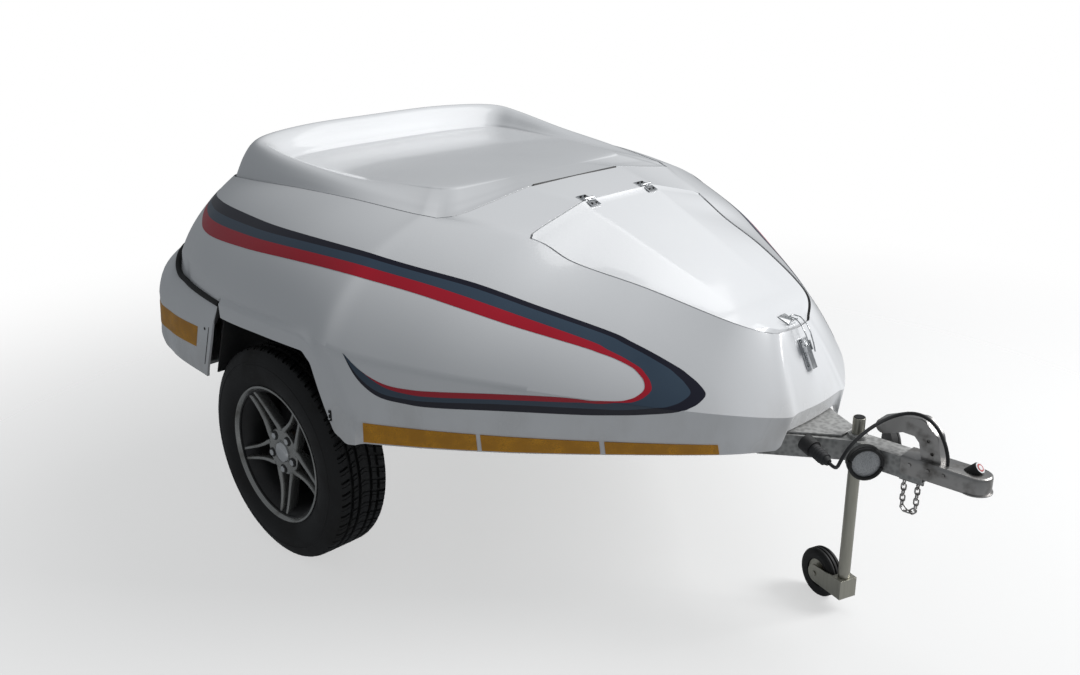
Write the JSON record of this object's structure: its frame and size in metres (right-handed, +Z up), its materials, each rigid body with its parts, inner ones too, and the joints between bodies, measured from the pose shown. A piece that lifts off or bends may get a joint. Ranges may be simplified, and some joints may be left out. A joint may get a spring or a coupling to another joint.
{
  "type": "luggage trailer",
  "caption": "Small enclosed luggage trailer with a moulded teardrop body, hinged rear lid and nose lid, alloy road wheels, ball coupler and jockey wheel.",
  "frame": {"origin": "on the ground under the middle of the overall length, on the centre plane", "axes": "+X forward to the coupler, +Y to the left side, +Z up"},
  "size_m": [2.2, 1.5832, 1.0017],
  "materials": {
    "gelcoat": "gloss white gelcoat",
    "floor": "bare laminate",
    "liner": "dark liner",
    "seal": "black weatherstrip",
    "lamp_red": "red lens",
    "amber": "amber reflecting strip",
    "galvanised": "hot-dip galvanised",
    "coupler_steel": "zinc plated",
    "knob_red": "red button",
    "lens_clear": "clear reflector lens",
    "black_plastic": "moulded black",
    "plug_grey": "moulded dark grey",
    "cable": "black sheath",
    "black_steel": "black paint",
    "bright_steel": "bright zinc",
    "chrome": "bright plated",
    "tyre": "road tyre",
    "jockey_rubber": "solid rubber",
    "alloy": "silver lacquer"
  },
  "bodies": {
    "trailer": {"body_shell": "gelcoat", "main_seal": "seal", "nose_seal": "seal", "floor_pan": "floor", "wheel_box_left": "liner", "wheel_box_right": "liner", "rear_bumper": "gelcoat", "bumper_seal": "seal", "tail_lamps": "lamp_red", "side_reflectors": "amber", "bumper_reflectors": "amber", "rail_left": "galvanised", "rail_right": "galvanised", "arm_left": "galvanised", "arm_right": "galvanised", "cross_members": "galvanised", "drawbar": "galvanised", "drawbar_gusset": "galvanised", "coupler_body": "coupler_steel", "coupler_handle": "coupler_steel", "coupler_knob": "knob_red", "safety_chain": "coupler_steel", "jockey_sleeve": "galvanised", "front_reflectors": "lens_clear", "reflector_rims": "black_plastic", "plug_holder": "black_plastic", "plug": "plug_grey", "cable": "cable", "axle_tube": "black_steel", "trailing_arms": "black_steel", "stub_axles": "bright_steel", "latch_base": "chrome", "nose_hinge_fixed": "chrome", "main_hinge_fixed": "black_steel"},
    "left_wheel": {"left_tyre": "tyre", "left_rim": "alloy", "left_hub": "black_steel", "left_cap_nuts": "chrome"},
    "right_wheel": {"right_tyre": "tyre", "right_rim": "alloy", "right_hub": "black_steel", "right_cap_nuts": "chrome"},
    "main_lid": {"main_lid": "gelcoat", "main_hinge_leaf": "black_steel"},
    "nose_lid": {"nose_lid": "gelcoat", "nose_hinge_leaf": "chrome", "latch_keeper": "chrome"},
    "jockey_mast": {"jockey_tube": "bright_steel"},
    "jockey_fork": {"jockey_fork": "bright_steel"},
    "jockey_wheel": {"jockey_tyre": "jockey_rubber", "jockey_hub": "bright_steel"}
  },
  "joints": [
    {"name": "left_wheel_spin", "type": "hinge", "parent": "trailer", "child": "left_wheel", "pos_m": [-0.4, 0.695, 0.28], "axis": [0, 1, 0], "continuous": true},
    {"name": "right_wheel_spin", "type": "hinge", "parent": "trailer", "child": "right_wheel", "pos_m": [-0.4, -0.695, 0.28], "axis": [0, 1, 0], "continuous": true},
    {"name": "main_lid_hinge", "type": "hinge", "parent": "trailer", "child": "main_lid", "pos_m": [-0.0675, 0, 0.92492], "axis": [0, 1, 0], "range_deg": [0, 60]},
    {"name": "nose_lid_hinge", "type": "hinge", "parent": "trailer", "child": "nose_lid", "pos_m": [0.07675, 0, 0.90558], "axis": [0, -1, 0], "range_deg": [0, 75]},
    {"name": "jockey_slide", "type": "slide", "parent": "trailer", "child": "jockey_mast", "axis": [0, 0, 1], "range_m": [0, 0.2]},
    {"name": "jockey_swivel", "type": "hinge", "parent": "jockey_mast", "child": "jockey_fork", "pos_m": [0.79, 0, 0.09], "axis": [0, 0, 1], "continuous": true},
    {"name": "jockey_wheel_spin", "type": "hinge", "parent": "jockey_fork", "child": "jockey_wheel", "pos_m": [0.71953, 0.02565, 0.06], "axis": [0.342, 0.9397, 0], "continuous": true}
  ]
}
